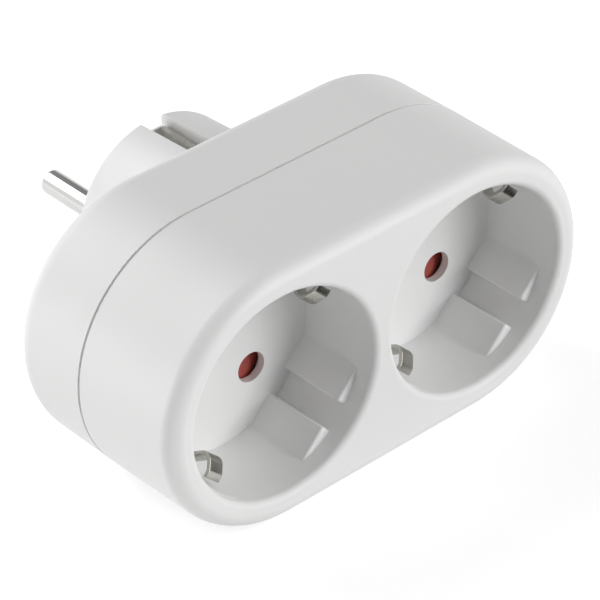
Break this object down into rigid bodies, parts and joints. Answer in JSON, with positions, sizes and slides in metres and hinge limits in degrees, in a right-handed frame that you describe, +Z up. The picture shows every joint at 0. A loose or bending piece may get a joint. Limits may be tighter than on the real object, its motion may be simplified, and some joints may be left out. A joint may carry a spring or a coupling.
{
  "type": "multi socket adapter",
  "caption": "White rounded block that plugs into an earthed wall socket and offers side-by-side turned, recessed round sockets with earth clips and shuttered pin holes.",
  "frame": {"origin": "middle of the plug's flat end face", "axes": "+Y out of the plug along its pins, -Y out of the sockets, X along the block, +Z up"},
  "size_m": [0.0934, 0.08, 0.0504],
  "materials": {
    "housing_white": "moulded, satin gloss",
    "shutter_red": "moulded, satin",
    "carrier_plastic": "moulded, satin",
    "nickel_strip": "nickel plated, rolled",
    "nickel_pin": "nickel plated, polished",
    "brass_sheet": "rolled sheet",
    "rivet_brass": "turned and headed",
    "spring_steel": "drawn wire",
    "screw_steel": "zinc plated"
  },
  "bodies": {
    "housing": {"front_housing": "housing_white", "rear_housing": "housing_white", "contact_carrier": "carrier_plastic", "earth_bracket_left": "nickel_strip", "earth_bracket_right": "nickel_strip", "earth_link": "nickel_strip", "plug_earth_bracket": "nickel_strip", "plug_pin_left": "nickel_pin", "plug_pin_right": "nickel_pin", "pin_contact_left_upper": "brass_sheet", "pin_contact_left_lower": "brass_sheet", "pin_contact_right_upper": "brass_sheet", "pin_contact_right_lower": "brass_sheet", "live_busbar": "brass_sheet", "neutral_busbar": "brass_sheet", "contact_rivets": "rivet_brass", "earth_post": "rivet_brass", "shutter_spring_left": "spring_steel", "shutter_spring_right": "spring_steel", "housing_screw_left": "screw_steel", "housing_screw_right": "screw_steel"},
    "shutter_left": {"shutter_left": "shutter_red"},
    "shutter_right": {"shutter_right": "shutter_red"}
  },
  "joints": [
    {"name": "shutter_left_turn", "type": "hinge", "parent": "housing", "child": "shutter_left", "pos_m": [-0.0215, -0.0404, 0], "axis": [0, 1, 0], "range_deg": [0, 45], "stiffness_Nm_per_rad": 0.0015, "springref_deg": -28.65, "deforming": ["shutter_spring_left"]},
    {"name": "shutter_right_turn", "type": "hinge", "parent": "housing", "child": "shutter_right", "pos_m": [0.0215, -0.0404, 0], "axis": [0, 1, 0], "range_deg": [0, 45], "stiffness_Nm_per_rad": 0.0015, "springref_deg": -28.65, "deforming": ["shutter_spring_right"]}
  ]
}
